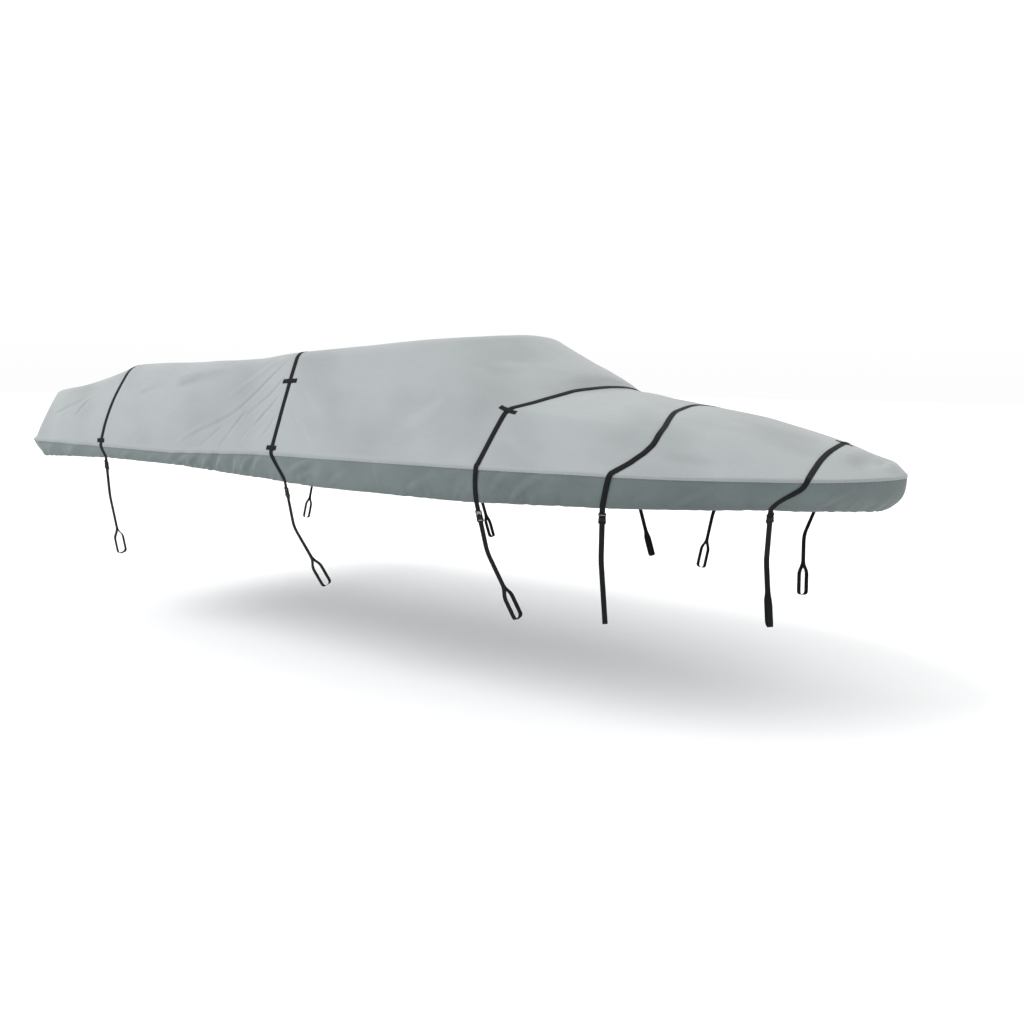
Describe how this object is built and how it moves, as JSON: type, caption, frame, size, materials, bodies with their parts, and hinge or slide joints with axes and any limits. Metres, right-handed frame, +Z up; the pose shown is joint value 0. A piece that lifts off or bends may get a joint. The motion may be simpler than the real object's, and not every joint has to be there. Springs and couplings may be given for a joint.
{
  "type": "fitted boat cover",
  "caption": "Light grey fitted boat cover with a darker side band, a raised shape over a windshield, five black webbing straps over the top and looped lower straps on buckles.",
  "frame": {"origin": "on the underside of the cloth at the middle of the raised top, where the cover is held up", "axes": "+X points to the bow end, +Y to the port side, +Z up"},
  "size_m": [5.339, 2.0743, 1.4158],
  "materials": {
    "top_cloth": "light grey coated woven cloth, matt",
    "band_cloth": "grey green coated woven cloth, matt",
    "webbing": "black woven webbing",
    "buckle_plastic": "black moulded plastic, satin"
  },
  "bodies": {
    "root": {"top_panel": "top_cloth", "side_band": "band_cloth", "over_strap_1": "webbing", "over_strap_2": "webbing", "over_strap_3": "webbing", "over_strap_4": "webbing", "over_strap_5": "webbing", "buckle_1_starboard": "buckle_plastic", "lower_strap_1_starboard": "webbing", "buckle_1_port": "buckle_plastic", "lower_strap_1_port": "webbing", "buckle_2_starboard": "buckle_plastic", "lower_strap_2_starboard": "webbing", "buckle_2_port": "buckle_plastic", "lower_strap_2_port": "webbing", "buckle_3_starboard": "buckle_plastic", "lower_strap_3_starboard": "webbing", "buckle_3_port": "buckle_plastic", "lower_strap_3_port": "webbing", "buckle_4_starboard": "buckle_plastic", "lower_strap_4_starboard": "webbing", "buckle_4_port": "buckle_plastic", "lower_strap_4_port": "webbing", "buckle_5_starboard": "buckle_plastic", "lower_strap_5_starboard": "webbing", "buckle_5_port": "buckle_plastic", "lower_strap_5_port": "webbing", "belt_loop_1_low_starboard": "webbing", "belt_loop_1_low_port": "webbing", "belt_loop_2_low_starboard": "webbing", "belt_loop_2_low_port": "webbing", "belt_loop_2_high_starboard": "webbing", "belt_loop_2_high_port": "webbing", "belt_loop_3_high_starboard": "webbing", "belt_loop_3_high_port": "webbing", "belt_loop_5_middle": "webbing"}
  },
  "joints": []
}
